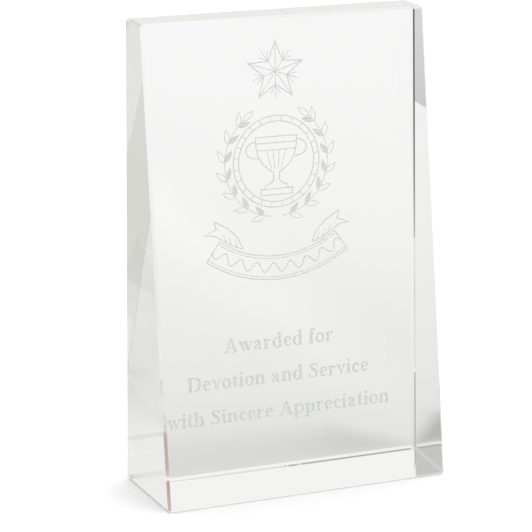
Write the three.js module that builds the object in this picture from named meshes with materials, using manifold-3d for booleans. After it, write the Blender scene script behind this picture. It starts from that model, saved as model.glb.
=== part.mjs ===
// Crystal award: a clear wedge-shaped block of optical crystal, with an emblem and three lines of
// lettering in a thin frosted layer bonded to its upright back face.
// Millimetres. +X is right, +Y is away from the reader, +Z is up. The origin is the middle of the foot.
// The marks read the right way round from the front, through the crystal.

import * as THREE from "three";
import { ConvexGeometry } from "three/addons/geometries/ConvexGeometry.js";
import { mergeVertices } from "three/addons/utils/BufferGeometryUtils.js";
import Module from "manifold-3d";

const wasm = await Module();
wasm.setup();

// ---- Driving dimensions ----------------------------------------------------------------------------

const blockWidth = 100;
const blockHeight = 155;
const footDepth = 37.5;
const topDepth = 13.5;
const edgeChamfer = 0.85;

const markThickness = 0.25;
const bridgeThickness = 0.1; // hairlines on the layer's outer side that join the letters of one line
const bridgeWidth = 0.2;

const frontFoot = -(footDepth + markThickness) / 2;
const backFace = frontFoot + footDepth;
const markFace = backFace + markThickness;

const lineWidth = 0.36; // the emblem's drawn lines
const fineWidth = 0.26;

const starCentre = 134.3; // heights above the foot
const starRadius = 10.7;
const ringCentre = 104.4;
const ringRadius = 15.4;
const laurelRadius = 18.5;
const ribbonLowest = 64.6;
const ribbonHalfSpan = 25.4;

const capHeight = 5;
const textLines = [
  { name: "text_line_1", words: "Awarded for", baseline: 41.2 },
  { name: "text_line_2", words: "Devotion and Service", baseline: 29.2 },
  { name: "text_line_3", words: "with Sincere Appreciation", baseline: 17.3 },
];

// ---- Materials -------------------------------------------------------------------------------------

const clearCrystal = new THREE.MeshStandardMaterial({
  name: "clear_crystal",
  color: 0xf1f5f4,
  roughness: 0.02,
  metalness: 0,
  transparent: true,
  opacity: 0.35,
});
const frostedCrystal = new THREE.MeshStandardMaterial({
  name: "frosted_crystal",
  color: 0xcfd6d3,
  roughness: 0.85,
  metalness: 0,
});

// ---- Solids ----------------------------------------------------------------------------------------

function solidOf(geometry) {
  const bare = geometry.clone();
  bare.deleteAttribute("normal");
  bare.deleteAttribute("uv");
  const merged = mergeVertices(bare);
  return new wasm.Manifold(
    new wasm.Mesh({
      numProp: 3,
      vertProperties: new Float32Array(merged.attributes.position.array),
      triVerts: new Uint32Array(merged.index.array),
    }),
  );
}

function geometryOf(solid) {
  const mesh = solid.getMesh();
  const geometry = new THREE.BufferGeometry();
  geometry.setAttribute("position", new THREE.Float32BufferAttribute(mesh.vertProperties, 3));
  geometry.setIndex([...mesh.triVerts]);
  geometry.computeVertexNormals();
  return geometry;
}

// The points of a figure, counterclockwise, which ExtrudeGeometry needs to turn a hole the right way.
function pathOf(points) {
  const path = points.map(([x, z]) => new THREE.Vector2(x, z));
  return THREE.ShapeUtils.isClockWise(path) ? path.reverse() : path;
}

// A flat figure drawn in X and Z, given thickness along Y out to the mark's outer face.
function prism({ outline, hole }, inner = backFace) {
  const shape = new THREE.Shape(pathOf(outline));
  if (hole) shape.holes.push(new THREE.Path(pathOf(hole)));
  const geometry = new THREE.ExtrudeGeometry(shape, { depth: 1, bevelEnabled: false });
  const position = geometry.attributes.position;
  for (let i = 0; i < position.count; i += 1) {
    const y = position.getZ(i) > 0.5 ? inner : markFace;
    position.setXYZ(i, position.getX(i), y, position.getY(i));
  }
  return solidOf(geometry);
}

const markOf = (figures) => wasm.Manifold.union(figures.map((figure) => prism(figure)));

// ---- Flat figures ----------------------------------------------------------------------------------

const rectangle = (x0, z0, x1, z1) => ({
  outline: [
    [x0, z0],
    [x1, z0],
    [x1, z1],
    [x0, z1],
  ],
});

const polygon = (...outline) => ({ outline });

// Points of an ellipse, or of part of one, from one angle to another in degrees.
function arc(cx, cz, rx, rz, from = 0, to = 360, steps = 12) {
  const whole = to - from === 360;
  const count = whole ? steps : steps + 1;
  return Array.from({ length: count }, (_, i) => {
    const angle = THREE.MathUtils.degToRad(from + ((to - from) * i) / steps);
    return [cx + rx * Math.cos(angle), cz + rz * Math.sin(angle)];
  });
}

const disc = (cx, cz, radius, steps = 8) => ({ outline: arc(cx, cz, radius, radius, 0, 360, steps) });

function hoop(cx, cz, radius, thickness, steps) {
  const outer = radius + thickness / 2;
  const inner = radius - thickness / 2;
  return {
    outline: arc(cx, cz, outer, outer, 0, 360, steps),
    hole: arc(cx, cz, inner, inner, 0, 360, steps),
  };
}

// A pen stroke through [x, z, width] points, mitred at its bends.
function stroke(points, closed = false) {
  const last = points.length - 1;
  const at = (i) => points[closed ? (i + points.length) % points.length : Math.min(Math.max(i, 0), last)];
  const left = [];
  const right = [];
  points.forEach(([x, z, width], i) => {
    const before = new THREE.Vector2(x - at(i - 1)[0], z - at(i - 1)[1]).normalize();
    const after = new THREE.Vector2(at(i + 1)[0] - x, at(i + 1)[1] - z).normalize();
    const along = before.clone().add(after).normalize();
    const half = width / 2;
    const mitre = Math.min(1 / Math.max(along.dot(i < last || closed ? after : before), 0.1), 2.5);
    const reach = half * mitre;
    left.push([x - along.y * reach, z + along.x * reach]);
    right.push([x + along.y * reach, z - along.x * reach]);
  });
  if (!closed) return { outline: [...right, ...left.reverse()] };
  const area = (side) => Math.abs(THREE.ShapeUtils.area(pathOf(side)));
  return area(right) > area(left) ? { outline: right, hole: left } : { outline: left, hole: right };
}

const penned = (points, width) => points.map(([x, z]) => [x, z, width]);
const line = (points, width = lineWidth) => stroke(penned(points, width));
const loop = (points, width = lineWidth) => stroke(penned(points, width), true);
const mirrored = ({ outline, hole }) => ({
  outline: outline.map(([x, z]) => [-x, z]),
  hole: hole?.map(([x, z]) => [-x, z]),
});

// ---- Emblem ----------------------------------------------------------------------------------------

function starPoints(outer, inner) {
  return Array.from({ length: 10 }, (_, i) => {
    const angle = Math.PI / 2 + (i * Math.PI) / 5;
    const radius = i % 2 ? inner : outer;
    return [radius * Math.cos(angle), starCentre + radius * Math.sin(angle)];
  });
}

// A faceted five-pointed star, with a fan of three rays in each gap between its points.
function star() {
  const notchRadius = starRadius * 0.42;
  const rim = 1 - lineWidth / (starRadius * 0.36);
  const raySpread = THREE.MathUtils.degToRad(13);
  const figures = [
    {
      outline: starPoints(starRadius, notchRadius),
      hole: starPoints(starRadius * rim, notchRadius * rim),
    },
  ];
  for (let i = 0; i < 5; i += 1) {
    const gap = -Math.PI / 2 + (i * 2 * Math.PI) / 5;
    const place = (radius, turn = 0) => {
      const angle = gap + turn;
      return [radius * Math.cos(angle), starCentre + radius * Math.sin(angle)];
    };
    figures.push(line([place(starRadius * 0.8), place(-starRadius * 0.98)], fineWidth));
    for (const turn of [-raySpread, raySpread]) {
      figures.push(line([place(notchRadius * 0.98), place(starRadius * 0.7, turn)], fineWidth));
    }
  }
  return figures;
}

// A round medal frame: two hoops with fine reeding between them.
function ring() {
  const reeds = 24;
  const inner = ringRadius - 1.9;
  const figures = [
    hoop(0, ringCentre, ringRadius, lineWidth, 40),
    hoop(0, ringCentre, inner, lineWidth, 40),
  ];
  for (let i = 0; i < reeds; i += 1) {
    const angle = ((i + 0.5) * 2 * Math.PI) / reeds;
    const place = (radius) => [radius * Math.cos(angle), ringCentre + radius * Math.sin(angle)];
    figures.push(line([place(inner), place(ringRadius)], fineWidth));
  }
  return figures;
}

// A two-handled cup, drawn in outline.
function cup() {
  const size = 1.16;
  const half = [
    [6.4, 7.2],
    [6.3, 4.6],
    [5.6, 1.8],
    [4.2, -0.6],
    [2.4, -2.2],
    [1, -3],
    [0.8, -5.2],
    [1.8, -6.3],
    [3.4, -6.9],
    [3.4, -7.9],
    [4.9, -7.9],
    [4.9, -9.6],
  ];
  const handle = [...arc(6.3, 3.6, 3.1, 2.4, 90, -90, 8), [5.3, 1.2]];
  const raise = (points) => points.map(([x, z]) => [x * size, ringCentre + z * size]);
  const outline = [...half, ...half.map(([x, z]) => [-x, z]).reverse()];
  const flutes = [-3, -1, 1, 3].map((x) => line(raise([[x, 3.4], [x * 0.5, -2]]), fineWidth));
  return [
    loop(raise(outline)),
    line(raise([[-6.3, 5.4], [6.3, 5.4]])),
    line(raise([[-6, 3.4], [6, 3.4]]), fineWidth),
    line(raise([[-3.4, -7.9], [3.4, -7.9]]), fineWidth),
    ...flutes,
    line(raise(handle)),
    mirrored(line(raise(handle))),
  ];
}

// A laurel branch that climbs round the right of the ring. Outer leaves are open, inner ones are filled.
function laurel() {
  const pairs = 7;
  const first = -76;
  const last = 42;
  const leafLength = 4.9;
  const leafWidth = 1.9;
  const lean = 32;
  const tip = last + 8;
  const along = (from, to, steps) => arc(0, ringCentre, laurelRadius, laurelRadius, from, to, steps);
  const place = (degrees) => along(degrees, degrees, 1)[0];
  const figures = [line(along(first - 8, tip, 14), fineWidth)];
  const leaf = ([x, z], degrees, filled) => {
    const angle = THREE.MathUtils.degToRad(degrees);
    const turned = (forward, sideways) => [
      x + forward * Math.cos(angle) - sideways * Math.sin(angle),
      z + forward * Math.sin(angle) + sideways * Math.cos(angle),
    ];
    const edge = [
      [0, 0],
      [0.3, -0.45],
      [0.65, -0.42],
      [1, 0],
      [0.65, 0.42],
      [0.3, 0.45],
    ].map(([forward, sideways]) => turned(forward * leafLength, sideways * leafWidth));
    figures.push(filled ? { outline: edge } : loop(edge, fineWidth));
  };
  for (let i = 0; i < pairs; i += 1) {
    const degrees = first + ((last - first) * i) / (pairs - 1);
    const heading = degrees + 90;
    leaf(place(degrees), heading - lean, false);
    leaf(place(degrees), heading + lean, true);
  }
  leaf(place(tip), tip + 90, false);
  return figures;
}

// A hanging ribbon in the shape of a smile, with a wave drawn along it.
const ribbonSag = 8;
const ribbonBreadth = 8;
const ribbonRadius = (ribbonHalfSpan ** 2 + ribbonSag ** 2) / (2 * ribbonSag);
const ribbonCentre = ribbonLowest + ribbonRadius;
const ribbonSweep = THREE.MathUtils.radToDeg(Math.asin(ribbonHalfSpan / ribbonRadius));

function ribbonArc(inset, steps) {
  const radius = ribbonRadius - inset;
  return arc(0, ribbonCentre, radius, radius, 270 - ribbonSweep, 270 + ribbonSweep, steps);
}

function ribbonBand() {
  const steps = 16;
  const border = 0.9;
  const waves = 8;
  const waveSteps = 8;
  const waveHeight = 1.7;
  const middle = ribbonRadius - ribbonBreadth / 2;
  const wave = Array.from({ length: waves * waveSteps + 1 }, (_, i) => {
    const share = i / (waves * waveSteps);
    const radius = middle + waveHeight * Math.sin(share * waves * 2 * Math.PI);
    const angle = THREE.MathUtils.degToRad(270 + (2 * share - 1) * ribbonSweep);
    return [radius * Math.cos(angle), ribbonCentre + radius * Math.sin(angle)];
  });
  return [
    loop([...ribbonArc(0, steps), ...ribbonArc(ribbonBreadth, steps).reverse()]),
    line(ribbonArc(border, steps), fineWidth),
    line(ribbonArc(ribbonBreadth - border, steps), fineWidth),
    line(wave),
  ];
}

// The right tail: it rises from behind the band's end and finishes in a swallow tail, with fold lines.
function ribbonTail() {
  const folds = [
    [
      [14.4, 76.7],
      [15.2, 79.2],
    ],
    [
      [16.4, 77.5],
      [17.3, 80.2],
    ],
    [
      [18.3, 78.7],
      [19.2, 81.2],
    ],
  ];
  return [
    loop([
      [12.4, 76],
      [14.3, 80],
      [17.8, 83.4],
      [22.4, 86],
      [21.8, 83.3],
      [25.9, 81.7],
      [22.4, 81.2],
      [20.3, 79.9],
      [16.4, 77.5],
    ]),
    ...folds.map((fold) => line(fold, fineWidth)),
  ];
}

// ---- Lettering -------------------------------------------------------------------------------------
// Upright roman letters with serifs. One unit is the height of a capital. Each letter's joins are the
// places, inside its strokes at joinHeight, where the hairlines from its neighbours end.

const xHeight = 0.68;
const ascender = 1.03;
const descender = -0.3;
const stemWidth = 0.19;
const hairline = 0.065;
const serifReach = 0.075;
const joinHeight = 0.36;

const stem = (x, z0, z1) => rectangle(x - stemWidth / 2, z0, x + stemWidth / 2, z1);
const foot = (x, z = 0) =>
  rectangle(x - stemWidth / 2 - serifReach, z, x + stemWidth / 2 + serifReach, z + hairline);
const flag = (x, z) => {
  const tip = x - stemWidth / 2 - serifReach;
  return polygon([tip, z - 0.1], [x, z - 0.16], [x, z], [tip, z - 0.04]);
};
const bar = (x0, x1, z) => rectangle(x0, z, x1, z + hairline);
const bowl = (cx, holeShift) => ({
  outline: arc(cx, 0.34, 0.31, 0.36),
  hole: arc(cx + holeShift, 0.34, 0.15, 0.3, 0, 360, 8),
});
// A stem and the arch that leaves it for a second stem, as in h and n.
const archedStem = (height) => [
  stem(0.2, 0, height),
  flag(0.2, height),
  foot(0.2),
  stroke([
    [0.22, 0.5, 0.05],
    [0.36, 0.64, 0.08],
    [0.52, 0.62, 0.13],
    [0.62, 0.46, 0.19],
  ]),
  stem(0.62, 0, 0.47),
  foot(0.62),
];

const alphabet = {
  A: {
    advance: 1.07,
    joins: [0.3, 0.75],
    figures: [
      polygon([0.14, 0], [0.21, 0], [0.57, 0.95], [0.5, 1]),
      polygon([0.76, 0], [0.98, 0], [0.6, 1], [0.46, 1]),
      bar(0.25, 0.82, 0.3),
      bar(0.02, 0.34, 0),
      bar(0.64, 1.06, 0),
    ],
  },
  D: {
    advance: 1.05,
    joins: [0.21, 0.89],
    figures: [
      stem(0.21, 0, 1),
      bar(0.02, 0.36, 0),
      bar(0.02, 0.36, 1 - hairline),
      stroke([
        [0.2, 0.968, 0.065],
        [0.54, 0.965, 0.065],
        [0.79, 0.84, 0.13],
        [0.89, 0.5, 0.2],
        [0.79, 0.16, 0.13],
        [0.54, 0.035, 0.065],
        [0.2, 0.032, 0.065],
      ]),
    ],
  },
  S: {
    advance: 0.78,
    joins: [0.56, 0.57],
    figures: [
      stroke([
        [0.62, 0.76, 0.06],
        [0.53, 0.92, 0.06],
        [0.37, 0.97, 0.06],
        [0.21, 0.9, 0.12],
        [0.19, 0.74, 0.17],
        [0.36, 0.58, 0.2],
        [0.52, 0.45, 0.2],
        [0.62, 0.27, 0.17],
        [0.56, 0.09, 0.13],
        [0.37, 0.03, 0.06],
        [0.2, 0.08, 0.06],
        [0.11, 0.26, 0.06],
      ]),
      rectangle(0.6, 0.72, 0.66, 0.99),
      rectangle(0.07, 0.01, 0.13, 0.3),
    ],
  },
  a: {
    advance: 0.74,
    joins: [0.46, 0.46],
    figures: [
      disc(0.16, 0.52, 0.085, 6),
      stroke([
        [0.13, 0.53, 0.06],
        [0.19, 0.63, 0.06],
        [0.32, 0.65, 0.07],
        [0.43, 0.58, 0.15],
        [0.46, 0.45, 0.19],
        [0.46, 0.12, 0.19],
        [0.53, 0.05, 0.09],
        [0.65, 0.07, 0.05],
      ]),
      stroke([
        [0.42, 0.41, 0.06],
        [0.24, 0.33, 0.1],
        [0.15, 0.19, 0.16],
        [0.2, 0.06, 0.11],
        [0.31, 0.05, 0.08],
        [0.43, 0.14, 0.06],
      ]),
    ],
  },
  c: {
    advance: 0.64,
    joins: [0.14, 0.14],
    figures: [
      disc(0.5, 0.53, 0.085, 6),
      stroke([
        [0.53, 0.54, 0.06],
        [0.4, 0.65, 0.07],
        [0.22, 0.58, 0.14],
        [0.14, 0.34, 0.18],
        [0.22, 0.11, 0.15],
        [0.39, 0.035, 0.08],
        [0.56, 0.14, 0.05],
      ]),
    ],
  },
  d: {
    advance: 0.82,
    joins: [0.14, 0.6],
    figures: [
      bowl(0.36, 0.03),
      stem(0.6, 0, ascender),
      flag(0.6, ascender),
      bar(0.6, 0.77, 0),
    ],
  },
  e: {
    advance: 0.66,
    joins: [0.14, 0.55],
    figures: [
      bar(0.14, 0.6, 0.35),
      stroke([
        [0.54, 0.36, 0.14],
        [0.5, 0.57, 0.12],
        [0.36, 0.66, 0.06],
        [0.2, 0.57, 0.14],
        [0.14, 0.34, 0.18],
        [0.21, 0.11, 0.15],
        [0.38, 0.035, 0.08],
        [0.58, 0.14, 0.05],
      ]),
    ],
  },
  f: {
    advance: 0.5,
    joins: [0.23, 0.23],
    figures: [
      foot(0.23),
      bar(0.04, 0.44, xHeight - hairline),
      disc(0.44, 0.93, 0.08, 6),
      stroke([
        [0.23, 0, 0.19],
        [0.23, 0.8, 0.19],
        [0.28, 0.96, 0.12],
        [0.38, 1.0, 0.06],
        [0.46, 0.96, 0.06],
      ]),
    ],
  },
  h: {
    advance: 0.82,
    joins: [0.2, 0.62],
    figures: archedStem(ascender),
  },
  i: {
    advance: 0.41,
    joins: [0.2, 0.2],
    figures: [stem(0.2, 0, xHeight), flag(0.2, xHeight), foot(0.2), disc(0.2, 0.9, 0.1)],
    dotBridge: [0.2, xHeight, 0.82],
  },
  n: {
    advance: 0.82,
    joins: [0.2, 0.62],
    figures: archedStem(xHeight),
  },
  o: {
    advance: 0.74,
    joins: [0.13, 0.61],
    figures: [{ outline: arc(0.37, 0.34, 0.33, 0.36), hole: arc(0.37, 0.34, 0.15, 0.3, 0, 360, 8) }],
  },
  p: {
    advance: 0.82,
    joins: [0.2, 0.68],
    figures: [bowl(0.46, -0.03), stem(0.2, descender, xHeight), flag(0.2, xHeight), foot(0.2, descender)],
  },
  r: {
    advance: 0.62,
    joins: [0.2, 0.2],
    figures: [
      stem(0.2, 0, xHeight),
      flag(0.2, xHeight),
      foot(0.2),
      stroke([
        [0.24, 0.46, 0.05],
        [0.34, 0.6, 0.08],
        [0.47, 0.62, 0.1],
      ]),
      disc(0.49, 0.58, 0.09, 6),
    ],
  },
  t: {
    advance: 0.49,
    joins: [0.21, 0.21],
    figures: [
      bar(0.03, 0.43, xHeight - hairline),
      polygon([0.115, 0.64], [0.305, 0.64], [0.305, 0.9], [0.26, 0.9]),
      stroke([
        [0.21, 0.66, 0.19],
        [0.21, 0.14, 0.19],
        [0.28, 0.05, 0.1],
        [0.43, 0.1, 0.05],
      ]),
    ],
  },
  v: {
    advance: 0.72,
    joins: [0.27, 0.51],
    figures: [
      polygon([0.07, 0.67], [0.36, 0], [0.44, 0], [0.28, 0.67]),
      polygon([0.36, 0], [0.42, 0], [0.64, 0.67], [0.57, 0.67]),
      bar(0.01, 0.33, xHeight - hairline),
      bar(0.49, 0.71, xHeight - hairline),
    ],
  },
  w: {
    advance: 1.04,
    joins: [0.25, 0.82],
    figures: [
      polygon([0.06, 0.67], [0.33, 0], [0.41, 0], [0.27, 0.67]),
      polygon([0.33, 0], [0.4, 0], [0.58, 0.67], [0.52, 0.67]),
      polygon([0.4, 0.67], [0.67, 0], [0.75, 0], [0.61, 0.67]),
      polygon([0.67, 0], [0.74, 0], [0.95, 0.67], [0.88, 0.67]),
      bar(0, 0.32, xHeight - hairline),
      bar(0.36, 0.66, xHeight - hairline),
      bar(0.81, 1.03, xHeight - hairline),
    ],
  },
};
const spaceAdvance = 0.37;

// One line of words, centred on the block. Hairlines on its outer side join its letters.
function lettering({ words, baseline }) {
  const advanceOf = (letter) => alphabet[letter]?.advance ?? spaceAdvance;
  const total = [...words].reduce((sum, letter) => sum + advanceOf(letter), 0);
  const solids = [];
  const hair = bridgeWidth / capHeight;
  let pen = -total / 2;
  let joinFrom;
  const place = ([x, z]) => [(pen + x) * capHeight, baseline + z * capHeight];
  const placed = ({ outline, hole }) => ({ outline: outline.map(place), hole: hole?.map(place) });
  const bridge = (x0, z0, x1, z1) =>
    solids.push(prism(placed(rectangle(x0, z0, x1, z1)), markFace - bridgeThickness));
  for (const letter of words) {
    const glyph = alphabet[letter];
    if (glyph) {
      const [enter, leave] = glyph.joins;
      solids.push(...glyph.figures.map((figure) => prism(placed(figure))));
      if (joinFrom !== undefined) bridge(joinFrom - pen, joinHeight, enter, joinHeight + hair);
      if (glyph.dotBridge) {
        const [x, low, high] = glyph.dotBridge;
        bridge(x - hair / 2, low - hair, x + hair / 2, high + hair);
      }
      joinFrom = pen + leave;
    }
    pen += advanceOf(letter);
  }
  return wasm.Manifold.union(solids);
}

// ---- Block -----------------------------------------------------------------------------------------

// The corner of the wedge at the given side, front or back, and foot or top.
function corner(right, back, top) {
  const front = top ? backFace - topDepth : frontFoot;
  const side = blockWidth / 2;
  return new THREE.Vector3(right ? side : -side, back ? backFace : front, top * blockHeight);
}

// Every face keeps a border of edgeChamfer, and the hull of the six bordered faces has chamfered edges.
function block() {
  const points = [];
  for (let index = 0; index < 8; index += 1) {
    const at = [index & 1, (index >> 1) & 1, (index >> 2) & 1];
    const here = corner(...at);
    const edges = at.map((_, axis) => {
      const other = at.map((bit, i) => (i === axis ? 1 - bit : bit));
      return corner(...other).sub(here).normalize();
    });
    for (let face = 0; face < 3; face += 1) {
      const [one, two] = edges.filter((_, axis) => axis !== face);
      const spread = edgeChamfer / one.clone().cross(two).length();
      points.push(here.clone().addScaledVector(one, spread).addScaledVector(two, spread));
    }
  }
  return solidOf(new ConvexGeometry(points));
}

// ---- Assembly --------------------------------------------------------------------------------------

const award = new THREE.Group();

function addPart(name, solid, material) {
  const mesh = new THREE.Mesh(geometryOf(solid), material);
  mesh.name = name;
  award.add(mesh);
}

const marks = {
  emblem_star: markOf(star()),
  emblem_ring: markOf(ring()),
  emblem_cup: markOf(cup()),
  laurel_left: markOf(laurel().map(mirrored)),
  laurel_right: markOf(laurel()),
  ribbon_band: markOf(ribbonBand()),
  ribbon_tail_left: markOf(ribbonTail().map(mirrored)),
  ribbon_tail_right: markOf(ribbonTail()),
};
for (const textLine of textLines) marks[textLine.name] = lettering(textLine);

addPart("crystal_block", block(), clearCrystal);
for (const [name, solid] of Object.entries(marks)) addPart(name, solid, frostedCrystal);

export default award;
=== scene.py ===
import math

import bmesh
import bpy
from mathutils import Matrix, Vector


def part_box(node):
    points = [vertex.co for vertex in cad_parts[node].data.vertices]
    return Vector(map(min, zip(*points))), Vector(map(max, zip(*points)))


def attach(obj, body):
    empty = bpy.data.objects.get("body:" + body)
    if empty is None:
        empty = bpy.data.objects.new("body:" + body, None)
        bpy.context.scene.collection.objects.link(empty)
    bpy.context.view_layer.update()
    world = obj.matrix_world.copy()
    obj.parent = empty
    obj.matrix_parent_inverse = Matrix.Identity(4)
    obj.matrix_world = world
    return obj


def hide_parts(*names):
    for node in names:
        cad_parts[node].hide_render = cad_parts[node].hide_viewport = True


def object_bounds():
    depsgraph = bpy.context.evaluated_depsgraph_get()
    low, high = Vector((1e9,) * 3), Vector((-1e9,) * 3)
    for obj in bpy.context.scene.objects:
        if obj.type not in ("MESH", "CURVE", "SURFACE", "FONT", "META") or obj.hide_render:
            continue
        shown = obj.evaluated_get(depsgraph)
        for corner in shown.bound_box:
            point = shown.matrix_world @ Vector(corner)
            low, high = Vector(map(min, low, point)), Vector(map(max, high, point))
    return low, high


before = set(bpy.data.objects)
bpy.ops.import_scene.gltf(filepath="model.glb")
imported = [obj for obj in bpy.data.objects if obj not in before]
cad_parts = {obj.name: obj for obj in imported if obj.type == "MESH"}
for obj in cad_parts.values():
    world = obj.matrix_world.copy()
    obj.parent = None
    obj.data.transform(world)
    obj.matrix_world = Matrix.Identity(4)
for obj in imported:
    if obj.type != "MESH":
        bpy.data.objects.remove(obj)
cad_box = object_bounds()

# Crystal award: a clear, polished wedge of optical crystal with a frosted emblem and lettering on its
# back face, standing on a plain white table in soft white light. Lengths are in metres, and MM turns
# millimetres into metres. Angles are in degrees.

MM = 0.001

block_low, block_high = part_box("crystal_block")

# ---- Camera values ---------------------------------------------------------------------------------

CAMERA_AZIMUTH = -24.26
CAMERA_ELEVATION = 15.26
CAMERA_ROLL = 0.58
CAMERA_DISTANCE = 875.8 * MM
CAMERA_LENS_MM = 181.7
AIM_FROM_MIDDLE = Vector((-8.3, -0.2, -3.86)) * MM

# ---- Crystal values --------------------------------------------------------------------------------

CRYSTAL_IOR = 1.517
CRYSTAL_TONES = ((0.992, 0.994, 0.990), (1.0, 1.0, 1.0))
CRYSTAL_ROUGHNESS = (0.0, 0.008)
CRYSTAL_DENSITY = 1.0
CRYSTAL_DEPTH_COLOUR = (0.92, 0.93, 0.78, 1)
TONE_SCALE, POLISH_SCALE, FLATNESS_SCALE = 14, 220, 25
POLISH_RANGE = (0.5, 0.8)
FLATNESS_DEPTH = 0.004 * MM
# Edges where the faces turn by more than SHARP_TURN get a small round.
EDGE_ROUNDING = 0.09 * MM
ROUNDING_SEGMENTS = 3
SHARP_TURN = 20
# Light runs round inside the block many times. With far fewer bounces the chamfers show black dashes.
CRYSTAL_BOUNCES = 1024

# ---- Frost values ----------------------------------------------------------------------------------

FROST_TONES = ((0.80, 0.835, 0.82), (0.94, 0.955, 0.95))
FROST_ROUGHNESS = (0.7, 1.0)
FROST_CLEARNESS = 0.35
GRAIN_SCALE, CLOUD_SCALE = 3500, 260
GRAIN_SHARE, CLOUD_SHARE = 0.7, 0.3
GRAIN_DEPTH = 0.03 * MM
# The CAD joins the strokes of a mark by hairlines, this thick, on the side away from the crystal. The
# visible mark is cut off a little before them.
HAIRLINE_THICKNESS = 0.1 * MM
CUT_MARGIN = 0.02 * MM
CUT_TOLERANCE = 0.0001 * MM
# The visible marks stop this far short of the crystal. A real etched mark has no such gap, and would
# also show where the crystal's back face reflects everything. These marks don't.
AIR_GAP = 0.02 * MM

# ---- Floor and table values ------------------------------------------------------------------------

FLOOR_SIZE = 8.0
FLOOR_LEVEL = block_low.z - 0.02 * MM
FLOOR_TONES = ((0.775, 0.775, 0.775), (0.79, 0.79, 0.79))
FLOOR_ROUGHNESS = 0.7
TOOTH_SCALE = 900
TOOTH_DEPTH = 0.01 * MM
TABLE_LEFT_EDGE = -140 * MM
CARD_LIFT = 0.005 * MM

# ---- Light values ----------------------------------------------------------------------------------

# The cards glow with painted light and shade, for the crystal to reflect and bend. They stay where
# they are in the room, and their tones were chosen for what the block shows to this camera.
# A list of stops holds (where, brightness, warmth). For the world and the dome, "where" is the Z part
# (LIGHT) or the X part (SIDE or SHADE) of a direction. Elsewhere it is a place in metres.
WORLD_LIGHT = [(-1, 1.3, 0), (0.0, 1.3, 0), (0.3, 1.15, 0), (0.55, 1.0, 0), (0.85, 2.2, 0), (1, 2.2, 0)]
WORLD_SIDE = [(-1, 0.65, 0), (1, 1.35, 0)]

DOME_RADIUS = 3.0
DOME_SUBDIVISIONS = 4
DOME_LIGHT = [
    (-1, 0.9, 0), (0.0, 0.86, 0), (0.2, 0.94, 0), (0.45, 0.905, 0), (0.57, 0.89, 0),
    (0.82, 0.75, 0), (0.89, 0.78, 0), (0.93, 2.0, 0), (1, 2.0, 0),
]
DOME_SHADE = [(-1, 0.9, 0), (-0.88, 0.9, 0), (-0.84, 0.5, 0), (-0.72, 0.5, 0), (-0.62, 1.0, 0), (1, 1.0, 0)]
# Small things far off: azimuth and elevation from the origin, inner and outer half width, and colour.
FAR_THINGS = (
    (54.2, 22.4, 1.0, 3.5, (0.46, 0.25, 0.17)),
    (26.0, 31.3, 2.6, 3.6, (0.74, 0.74, 0.73)),
    (5.4, 37.2, 1.0, 2.0, (0.4, 0.4, 0.4)),
    (-134.8, 31.7, 1.0, 2.0, (0.4, 0.4, 0.4)),
)

# The table card's painted light by Y, with the block's painted shadow behind it, and its painted shade by
# X.
TABLE_LIGHT = [
    (-0.40, 0.86, 0), (-0.12, 0.69, 0.02), (-0.05, 0.70, 0.02), (-0.02, 0.76, 0.02),
    (0.0, 0.79, 0.01), (0.03, 0.75, 0), (0.05, 0.785, 0), (0.075, 0.82, 0),
    (0.14, 0.86, 0), (0.22, 0.90, 0), (0.30, 0.92, 0), (0.46, 0.93, 0),
]
SIDE_SHADE = [(-0.10, 0.96, 0), (0.03, 0.99, 0), (0.06, 1.03, 0), (0.09, 0.985, 0), (0.14, 1.0, 0)]

# The patch of table card right behind the block's foot has a painted shadow, by X, and is partly a mirror.
# It reaches back to FOOT_REACH in Y, and its corner is cut off where X + Y passes FOOT_CORNER. The
# shadow's back edge is also tilted, by FOOT_TILT for each length in X past FOOT_TILT_FROM. Each edge
# fades out over a pair of softness values, the shadow's by FOOT_SOFTNESS and the mirror's by the other two.
FOOT_SHADE = [
    (-0.05, 0.94, 0), (-0.02, 0.93, 0), (0.01, 0.905, 0),
    (0.03, 0.825, 0), (0.038, 0.825, 0), (0.048, 0.815, 0),
]
FOOT_REACH = 38 * MM
FOOT_TILT = 0.10
FOOT_TILT_FROM = 30 * MM
FOOT_CORNER = 70 * MM
FOOT_SOFTNESS = (-6 * MM, 9 * MM)
FOOT_GLOSS = 0.58
GLOSS_SOFTNESS = (3 * MM, 5 * MM)
CORNER_SOFTNESS = (-5 * MM, 3 * MM)
SKY_IN_GLOSS = 0.73

# The room beyond the table's left edge, by Y, and in it a darker streak, painted into the room's light,
# that lies along Y = -STREAK_SLOPE * X - STREAK_OFFSET: its half width, its far end and its shade by X.
ROOM_LIGHT = [(-0.40, 0.62, 0), (0.30, 0.60, 0), (0.36, 0.58, 0), (0.52, 0.67, 0), (0.80, 0.50, 0)]
STREAK_SLOPE, STREAK_OFFSET = 0.557, 52.5 * MM
STREAK_WIDTH = (9 * MM, 15 * MM)
STREAK_END = (-360 * MM, -340 * MM)
STREAK_TONES = [
    (-0.35, 0.03, 0), (-0.234, 0.10, 0), (-0.206, 0.21, 0),
    (-0.18, 0.33, 0), (-0.156, 0.60, 0), (-0.14, 0.78, 0),
]

# An upright card beyond the table's left edge: its two ends, as X and Y, and its light by height.
LEFT_CARD_ENDS = (Vector((-0.14, 0.90)), Vector((-1.50, 0.50)))
LEFT_CARD_LIGHT = [
    (0, 0.80, 0), (0.08, 0.80, 0), (0.30, 0.56, 0), (0.438, 0.53, 0), (0.442, 0.60, 0),
    (0.53, 0.60, 0), (0.56, 0.42, 0), (0.80, 0.42, 0), (1.70, 0.40, 0),
]


# ---- Node helpers ----------------------------------------------------------------------------------

# The colour sockets of a Mix node, which has other sockets of the same names.
MIX_FIRST, MIX_SECOND, MIX_RESULT = 6, 7, 2
# What a warmth of 1 adds to red and takes from blue, as shares.
WARM_RED, WARM_BLUE = 0.3, 2
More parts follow.
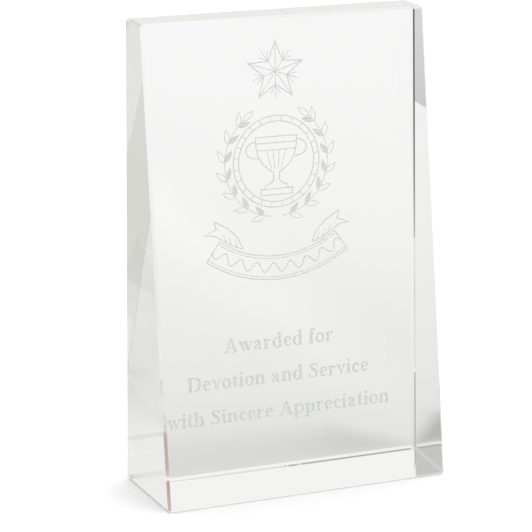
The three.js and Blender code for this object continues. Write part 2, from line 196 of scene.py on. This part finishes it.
# A blend goes from its first tone to its second between these values of a noise.
NOISE_RANGE = (0.3, 0.7)


class Tree:
    """A node tree that is built by naming nodes and joining their sockets."""

    def __init__(self, owner):
        owner.use_nodes = True
        self.tree = owner.node_tree
        self.tree.nodes.clear()

    def feed(self, socket, value):
        """Join another socket to this one, or set a plain value on it."""
        if isinstance(value, bpy.types.NodeSocket):
            self.tree.links.new(value, socket)
        else:
            socket.default_value = value

    def add(self, kind, **values):
        """A new node. Each value goes to the property of that name or, if there is none, to the input."""
        node = self.tree.nodes.new(kind)
        for name, value in values.items():
            if hasattr(node, name):
                setattr(node, name, value)
            else:
                self.feed(node.inputs[name.replace("_", " ")], value)
        return node

    def fed(self, node, *values):
        """The same node, with its inputs fed in order."""
        for socket, value in zip(node.inputs, values):
            self.feed(socket, value)
        return node

    def math(self, operation, *values):
        node = self.add("ShaderNodeMath", operation=operation)
        return self.fed(node, *values).outputs["Value"]

    def vectors(self, operation, *values):
        node = self.add("ShaderNodeVectorMath", operation=operation)
        return self.fed(node, *values).outputs["Vector"]

    def times(self, first, second):
        return self.vectors("MULTIPLY", first, second)

    def minus(self, first, second):
        return self.vectors("SUBTRACT", first, second)

    def dot(self, first, second):
        node = self.add("ShaderNodeVectorMath", operation="DOT_PRODUCT")
        return self.fed(node, first, second).outputs["Value"]

    def parts(self, vector):
        """The X, Y and Z of a vector."""
        return self.fed(self.add("ShaderNodeSeparateXYZ"), vector).outputs

    def range(self, value, before, after=(0, 1)):
        """One range of values stretched over another, and held at its ends."""
        node = self.add("ShaderNodeMapRange", clamp=True)
        return self.fed(node, value, *before, *after).outputs["Result"]

    def mix(self, share, first, second):
        """A colour between two others."""
        node = self.add("ShaderNodeMix", data_type="RGBA")
        self.feed(node.inputs["Factor"], share)
        self.feed(node.inputs[MIX_FIRST], first)
        self.feed(node.inputs[MIX_SECOND], second)
        return node.outputs[MIX_RESULT]

    def blend(self, value, tones):
        """A colour between two tones, by a noise."""
        first, second = ((*tone, 1) for tone in tones)
        return self.mix(self.range(value, NOISE_RANGE), first, second)

    def ramp(self, value, stops):
        """Colour by value, changing evenly from stop to stop."""
        start, end = stops[0][0], stops[-1][0]
        top = max(level for _, level, _ in stops)
        ramp = self.add("ShaderNodeValToRGB")
        ramp.color_ramp.interpolation = "LINEAR"
        elements = ramp.color_ramp.elements
        elements.remove(elements[1])
        for index, (at, level, warmth) in enumerate(stops):
            place = (at - start) / (end - start)
            element = elements[0] if index == 0 else elements.new(place)
            element.position = place
            share = level / top
            element.color = (share * (1 + WARM_RED * warmth), share, share * (1 - WARM_BLUE * warmth), 1)
        self.feed(ramp.inputs[0], self.range(value, (start, end)))
        return self.times(ramp.outputs["Color"], (top, top, top))

    def noise(self, place, scale, detail=2):
        return self.add("ShaderNodeTexNoise", Vector=place, Scale=scale, Detail=detail).outputs[0]

    def bump(self, height, depth):
        return self.add("ShaderNodeBump", Strength=1.0, Distance=depth, Height=height).outputs[0]

    def place_on_piece(self):
        return self.add("ShaderNodeTexCoord").outputs["Object"]

    def mix_shaders(self, share, first, second):
        node = self.add("ShaderNodeMixShader")
        return self.fed(node, share, first.outputs[0], second.outputs[0])

    def show(self, shader, kind="ShaderNodeOutputMaterial"):
        """The tree's output, with this shader as its surface."""
        return self.add(kind, Surface=shader.outputs[0])


def new_material(name):
    material = bpy.data.materials.new(name)
    return material, Tree(material)


# ---- Materials -------------------------------------------------------------------------------------

def crystal_material():
    """Polished optical crystal, with a faint drift in its tone, its polish and its flatness."""
    material, tree = new_material("clear_crystal")
    place = tree.place_on_piece()
    shader = tree.add(
        "ShaderNodeBsdfPrincipled",
        IOR=CRYSTAL_IOR,
        Transmission_Weight=1.0,
        Base_Color=tree.blend(tree.noise(place, TONE_SCALE), CRYSTAL_TONES),
        Roughness=tree.range(tree.noise(place, POLISH_SCALE), POLISH_RANGE, CRYSTAL_ROUGHNESS),
        Normal=tree.bump(tree.noise(place, FLATNESS_SCALE, detail=0), FLATNESS_DEPTH),
    )
    depth = tree.add("ShaderNodeVolumeAbsorption", Density=CRYSTAL_DENSITY, Color=CRYSTAL_DEPTH_COLOUR)
    tree.feed(tree.show(shader).inputs["Volume"], depth.outputs[0])
    return material


def frost_material():
    """Etched crystal: a matt, sugary grain that also lets some of the light behind it through."""
    material, tree = new_material("frosted_crystal")
    place = tree.place_on_piece()
    grain = tree.noise(place, GRAIN_SCALE, detail=4)
    cloud = tree.noise(place, CLOUD_SCALE)
    grain_part = tree.math("MULTIPLY", grain, GRAIN_SHARE)
    cloud_part = tree.math("MULTIPLY", cloud, CLOUD_SHARE)
    tone = tree.blend(tree.math("ADD", grain_part, cloud_part), FROST_TONES)
    normal = tree.bump(grain, GRAIN_DEPTH)
    matt = tree.add(
        "ShaderNodeBsdfPrincipled",
        IOR=CRYSTAL_IOR,
        Base_Color=tone,
        Roughness=tree.range(grain, NOISE_RANGE, FROST_ROUGHNESS),
        Normal=normal,
    )
    glow = tree.add("ShaderNodeBsdfTranslucent", Color=tone, Normal=normal)
    tree.show(tree.mix_shaders(FROST_CLEARNESS, matt, glow))
    return material


def floor_material():
    """A plain white sheet with a barely visible tooth."""
    material, tree = new_material("white_table")
    tooth = tree.noise(tree.place_on_piece(), TOOTH_SCALE, detail=3)
    shader = tree.add(
        "ShaderNodeBsdfPrincipled",
        Roughness=FLOOR_ROUGHNESS,
        Base_Color=tree.blend(tooth, FLOOR_TONES),
        Normal=tree.bump(tooth, TOOTH_DEPTH),
    )
    tree.show(shader)
    return material


# ---- Pieces ----------------------------------------------------------------------------------------

def add_piece(name, data, material):
    data.materials.append(material)
    piece = bpy.data.objects.new(name, data)
    bpy.context.scene.collection.objects.link(piece)
    return piece


def dress_block():
    """The CAD block in its crystal, with smooth shading and slightly rounded edges."""
    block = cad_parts["crystal_block"]
    block.data.materials.clear()
    block.data.materials.append(crystal_material())
    block.data.polygons.foreach_set("use_smooth", [True] * len(block.data.polygons))
    bevel = block.modifiers.new("edge_rounding", "BEVEL")
    bevel.width = EDGE_ROUNDING
    bevel.segments = ROUNDING_SEGMENTS
    bevel.limit_method = "ANGLE"
    bevel.angle_limit = math.radians(SHARP_TURN)
    bevel.harden_normals = True


def frosted_mark(name, material):
    """The visible part of one mark, without its hairlines and a hair clear of the crystal."""
    low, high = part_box(name)
    mesh = bmesh.new()
    mesh.from_mesh(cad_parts[name].data)
    cut = high.y - HAIRLINE_THICKNESS - CUT_MARGIN
    everything = mesh.verts[:] + mesh.edges[:] + mesh.faces[:]
    split = bmesh.ops.bisect_plane(
        mesh,
        geom=everything,
        plane_co=(0, cut, 0),
        plane_no=(0, 1, 0),
        clear_outer=True,
        dist=CUT_TOLERANCE,
    )
    rim = [item for item in split["geom_cut"] if isinstance(item, bmesh.types.BMEdge)]
    bmesh.ops.triangle_fill(mesh, use_beauty=True, edges=rim, normal=(0, 1, 0))
    for vertex in mesh.verts:
        vertex.co.y = max(vertex.co.y, low.y + AIR_GAP)
    bmesh.ops.recalc_face_normals(mesh, faces=mesh.faces)
    data = bpy.data.meshes.new("frost_" + name)
    mesh.to_mesh(data)
    mesh.free()
    piece = add_piece("frost_" + name, data, material)
    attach(piece, "root")
    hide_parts(name)


# ---- Light on the cards ----------------------------------------------------------------------------

def toward(azimuth, elevation):
    """The direction with this azimuth, from +Y towards +X, and this elevation."""
    turn, rise = math.radians(azimuth), math.radians(elevation)
    return (math.sin(turn) * math.cos(rise), math.cos(turn) * math.cos(rise), math.sin(rise))


def foot_patch(tree, x, y, table):
    """Painted table light with the painted shadow behind the foot in it, and the share that is a mirror."""
    # How far a place lies outside the patch, past its back edge and past its other edges.
    behind = tree.math("SUBTRACT", y, FOOT_REACH)
    aside = tree.math("SUBTRACT", tree.math("ADD", x, y), FOOT_CORNER)
    for past_edge in (
        tree.math("SUBTRACT", x, block_high.x),
        tree.math("SUBTRACT", block_low.x, x),
        tree.math("SUBTRACT", block_high.y, y),
    ):
        aside = tree.math("MAXIMUM", aside, past_edge)
    tilt = tree.math("MULTIPLY", tree.math("SUBTRACT", x, FOOT_TILT_FROM), FOOT_TILT)
    outside = tree.math("MAXIMUM", tree.math("ADD", behind, tilt), aside)
    # The block's shadow, painted into the table card's light behind the foot.
    shaded = tree.times(table, tree.ramp(x, FOOT_SHADE))
    table = tree.mix(tree.range(outside, FOOT_SOFTNESS, (1, 0)), table, shaded)
    mirror_depth = tree.range(behind, GLOSS_SOFTNESS, (1, 0))
    mirror_width = tree.range(aside, CORNER_SOFTNESS, (1, 0))
    mirror = tree.math("MULTIPLY", tree.math("MULTIPLY", mirror_depth, mirror_width), FOOT_GLOSS)
    # The sky that the mirror adds is taken out of the table card's painted light, so that its tone stays.
    own = tree.minus(table, tree.math("MULTIPLY", mirror, SKY_IN_GLOSS))
    table = tree.times(own, tree.math("DIVIDE", 1, tree.math("SUBTRACT", 1, mirror)))
    return table, mirror


def room_light(tree, x, y):
    """The greyer room beyond the table's left edge, with the darker streak painted into it."""
    across = tree.math("ADD", tree.math("ADD", y, tree.math("MULTIPLY", x, STREAK_SLOPE)), STREAK_OFFSET)
    beside_streak = tree.range(tree.math("ABSOLUTE", across), STREAK_WIDTH)
    beyond_streak = tree.range(x, STREAK_END, (1, 0))
    room = tree.ramp(y, ROOM_LIGHT)
    # A darker streak, painted into the room's light.
    streak = tree.times(room, tree.ramp(x, STREAK_TONES))
    return tree.mix(tree.math("MAXIMUM", beside_streak, beyond_streak), streak, room)


def table_light(tree, place):
    """The table card's painted light and shade round the block, and the room beyond its left edge."""
    x, y, _ = tree.parts(place)
    # The table's light by Y and shade by X, with the block's shadow behind it, all painted into the card.
    plain = tree.times(tree.ramp(y, TABLE_LIGHT), tree.ramp(x, SIDE_SHADE))
    table, mirror = foot_patch(tree, x, y, plain)
    past_table = tree.math("LESS_THAN", x, TABLE_LEFT_EDGE)
    return tree.mix(past_table, table, room_light(tree, x, y)), mirror


def dome_light(tree, place):
    """What the crystal sees above the table: a pale room, an overhead softbox and a few far things."""
    direction = tree.vectors("NORMALIZE", place)
    across, _, up = tree.parts(direction)
    light = tree.times(tree.ramp(up, DOME_LIGHT), tree.ramp(across, DOME_SHADE))
    for azimuth, elevation, inner, outer, colour in FAR_THINGS:
        closeness = tree.dot(direction, toward(azimuth, elevation))
        near, far = (math.cos(math.radians(width)) for width in (inner, outer))
        light = tree.mix(tree.range(closeness, (far, near)), light, (*colour, 1))
    return light, None


def left_card_light(tree, place):
    _, _, height = tree.parts(place)
    return tree.ramp(height, LEFT_CARD_LIGHT), None


def light_material(name, light_at):
    """A card's light: light_at gives its colour by place, and the share of it that is a mirror, or None."""
    material, tree = new_material(name)
    colour, mirror = light_at(tree, tree.add("ShaderNodeNewGeometry").outputs["Position"])
    shader = tree.add("ShaderNodeEmission", Strength=1.0, Color=colour)
    if mirror is not None:
        shader = tree.mix_shaders(mirror, shader, tree.add("ShaderNodeBsdfGlossy", Roughness=0.0))
    tree.show(shader)
    material.cycles.emission_sampling = "NONE"
    return material


# ---- Studio ----------------------------------------------------------------------------------------

def plane(name, corners, material):
    data = bpy.data.meshes.new(name)
    data.from_pydata(corners, [], [(0, 1, 2, 3)])
    piece = add_piece(name, data, material)
    return piece


def level_square(half, height):
    return [(-half, -half, height), (half, -half, height), (half, half, height), (-half, half, height)]


def hide_card(card):
    """Hide a card from the camera, diffuse light and shadows. Crystal, frost and any sheen show it."""
    card.visible_camera = False
    card.visible_diffuse = False
    card.visible_shadow = False


def make_floor():
    plane("floor", level_square(FLOOR_SIZE / 2, FLOOR_LEVEL), floor_material())


def make_table_card():
    # A glowing card just above the floor, painted with the table's light and the block's shadow.
    corners = level_square(DOME_RADIUS, FLOOR_LEVEL + CARD_LIFT)
    hide_card(plane("table_card", corners, light_material("table_card", table_light)))


def make_dome_card():
    mesh = bmesh.new()
    bmesh.ops.create_icosphere(mesh, subdivisions=DOME_SUBDIVISIONS, radius=DOME_RADIUS)
    data = bpy.data.meshes.new("dome_card")
    mesh.to_mesh(data)
    mesh.free()
    dome = add_piece("dome_card", data, light_material("dome_card", dome_light))
    hide_card(dome)


def make_left_card():
    near, far = LEFT_CARD_ENDS
    top = LEFT_CARD_LIGHT[-1][0]
    corners = [(*near, 0), (*far, 0), (*far, top), (*near, top)]
    hide_card(plane("left_card", corners, light_material("left_card", left_card_light)))


def make_world():
    world = bpy.data.worlds.new("studio")
    bpy.context.scene.world = world
    tree = Tree(world)
    across, _, up = tree.parts(tree.add("ShaderNodeTexCoord").outputs["Generated"])
    colour = tree.times(tree.ramp(up, WORLD_LIGHT), tree.ramp(across, WORLD_SIDE))
    tree.show(tree.add("ShaderNodeBackground", Strength=1.0, Color=colour), "ShaderNodeOutputWorld")


def make_camera():
    middle = (cad_box[0] + cad_box[1]) / 2 + AIM_FROM_MIDDLE
    turn, rise = math.radians(CAMERA_AZIMUTH), math.radians(CAMERA_ELEVATION)
    away = Vector((math.sin(turn) * math.cos(rise), -math.cos(turn) * math.cos(rise), math.sin(rise)))
    camera = bpy.data.objects.new("camera", bpy.data.cameras.new("camera"))
    camera.data.lens = CAMERA_LENS_MM
    camera.data.clip_end = FLOOR_SIZE * 2
    roll = Matrix.Rotation(math.radians(CAMERA_ROLL), 3, "Z")
    facing = (-away).to_track_quat("-Z", "Y").to_matrix() @ roll
    camera.matrix_world = Matrix.Translation(middle + away * CAMERA_DISTANCE) @ facing.to_4x4()
    bpy.context.scene.collection.objects.link(camera)
    bpy.context.scene.camera = camera


make_camera()
make_floor()
make_table_card()
make_dome_card()
make_left_card()
make_world()
bpy.context.scene.view_settings.view_transform = "Standard"
bpy.context.scene.cycles.max_bounces = CRYSTAL_BOUNCES
bpy.context.scene.cycles.transmission_bounces = CRYSTAL_BOUNCES
bpy.context.scene.cycles.glossy_bounces = CRYSTAL_BOUNCES
dress_block()
frost = frost_material()
for node_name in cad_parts:
    if node_name != "crystal_block":
        frosted_mark(node_name, frost)
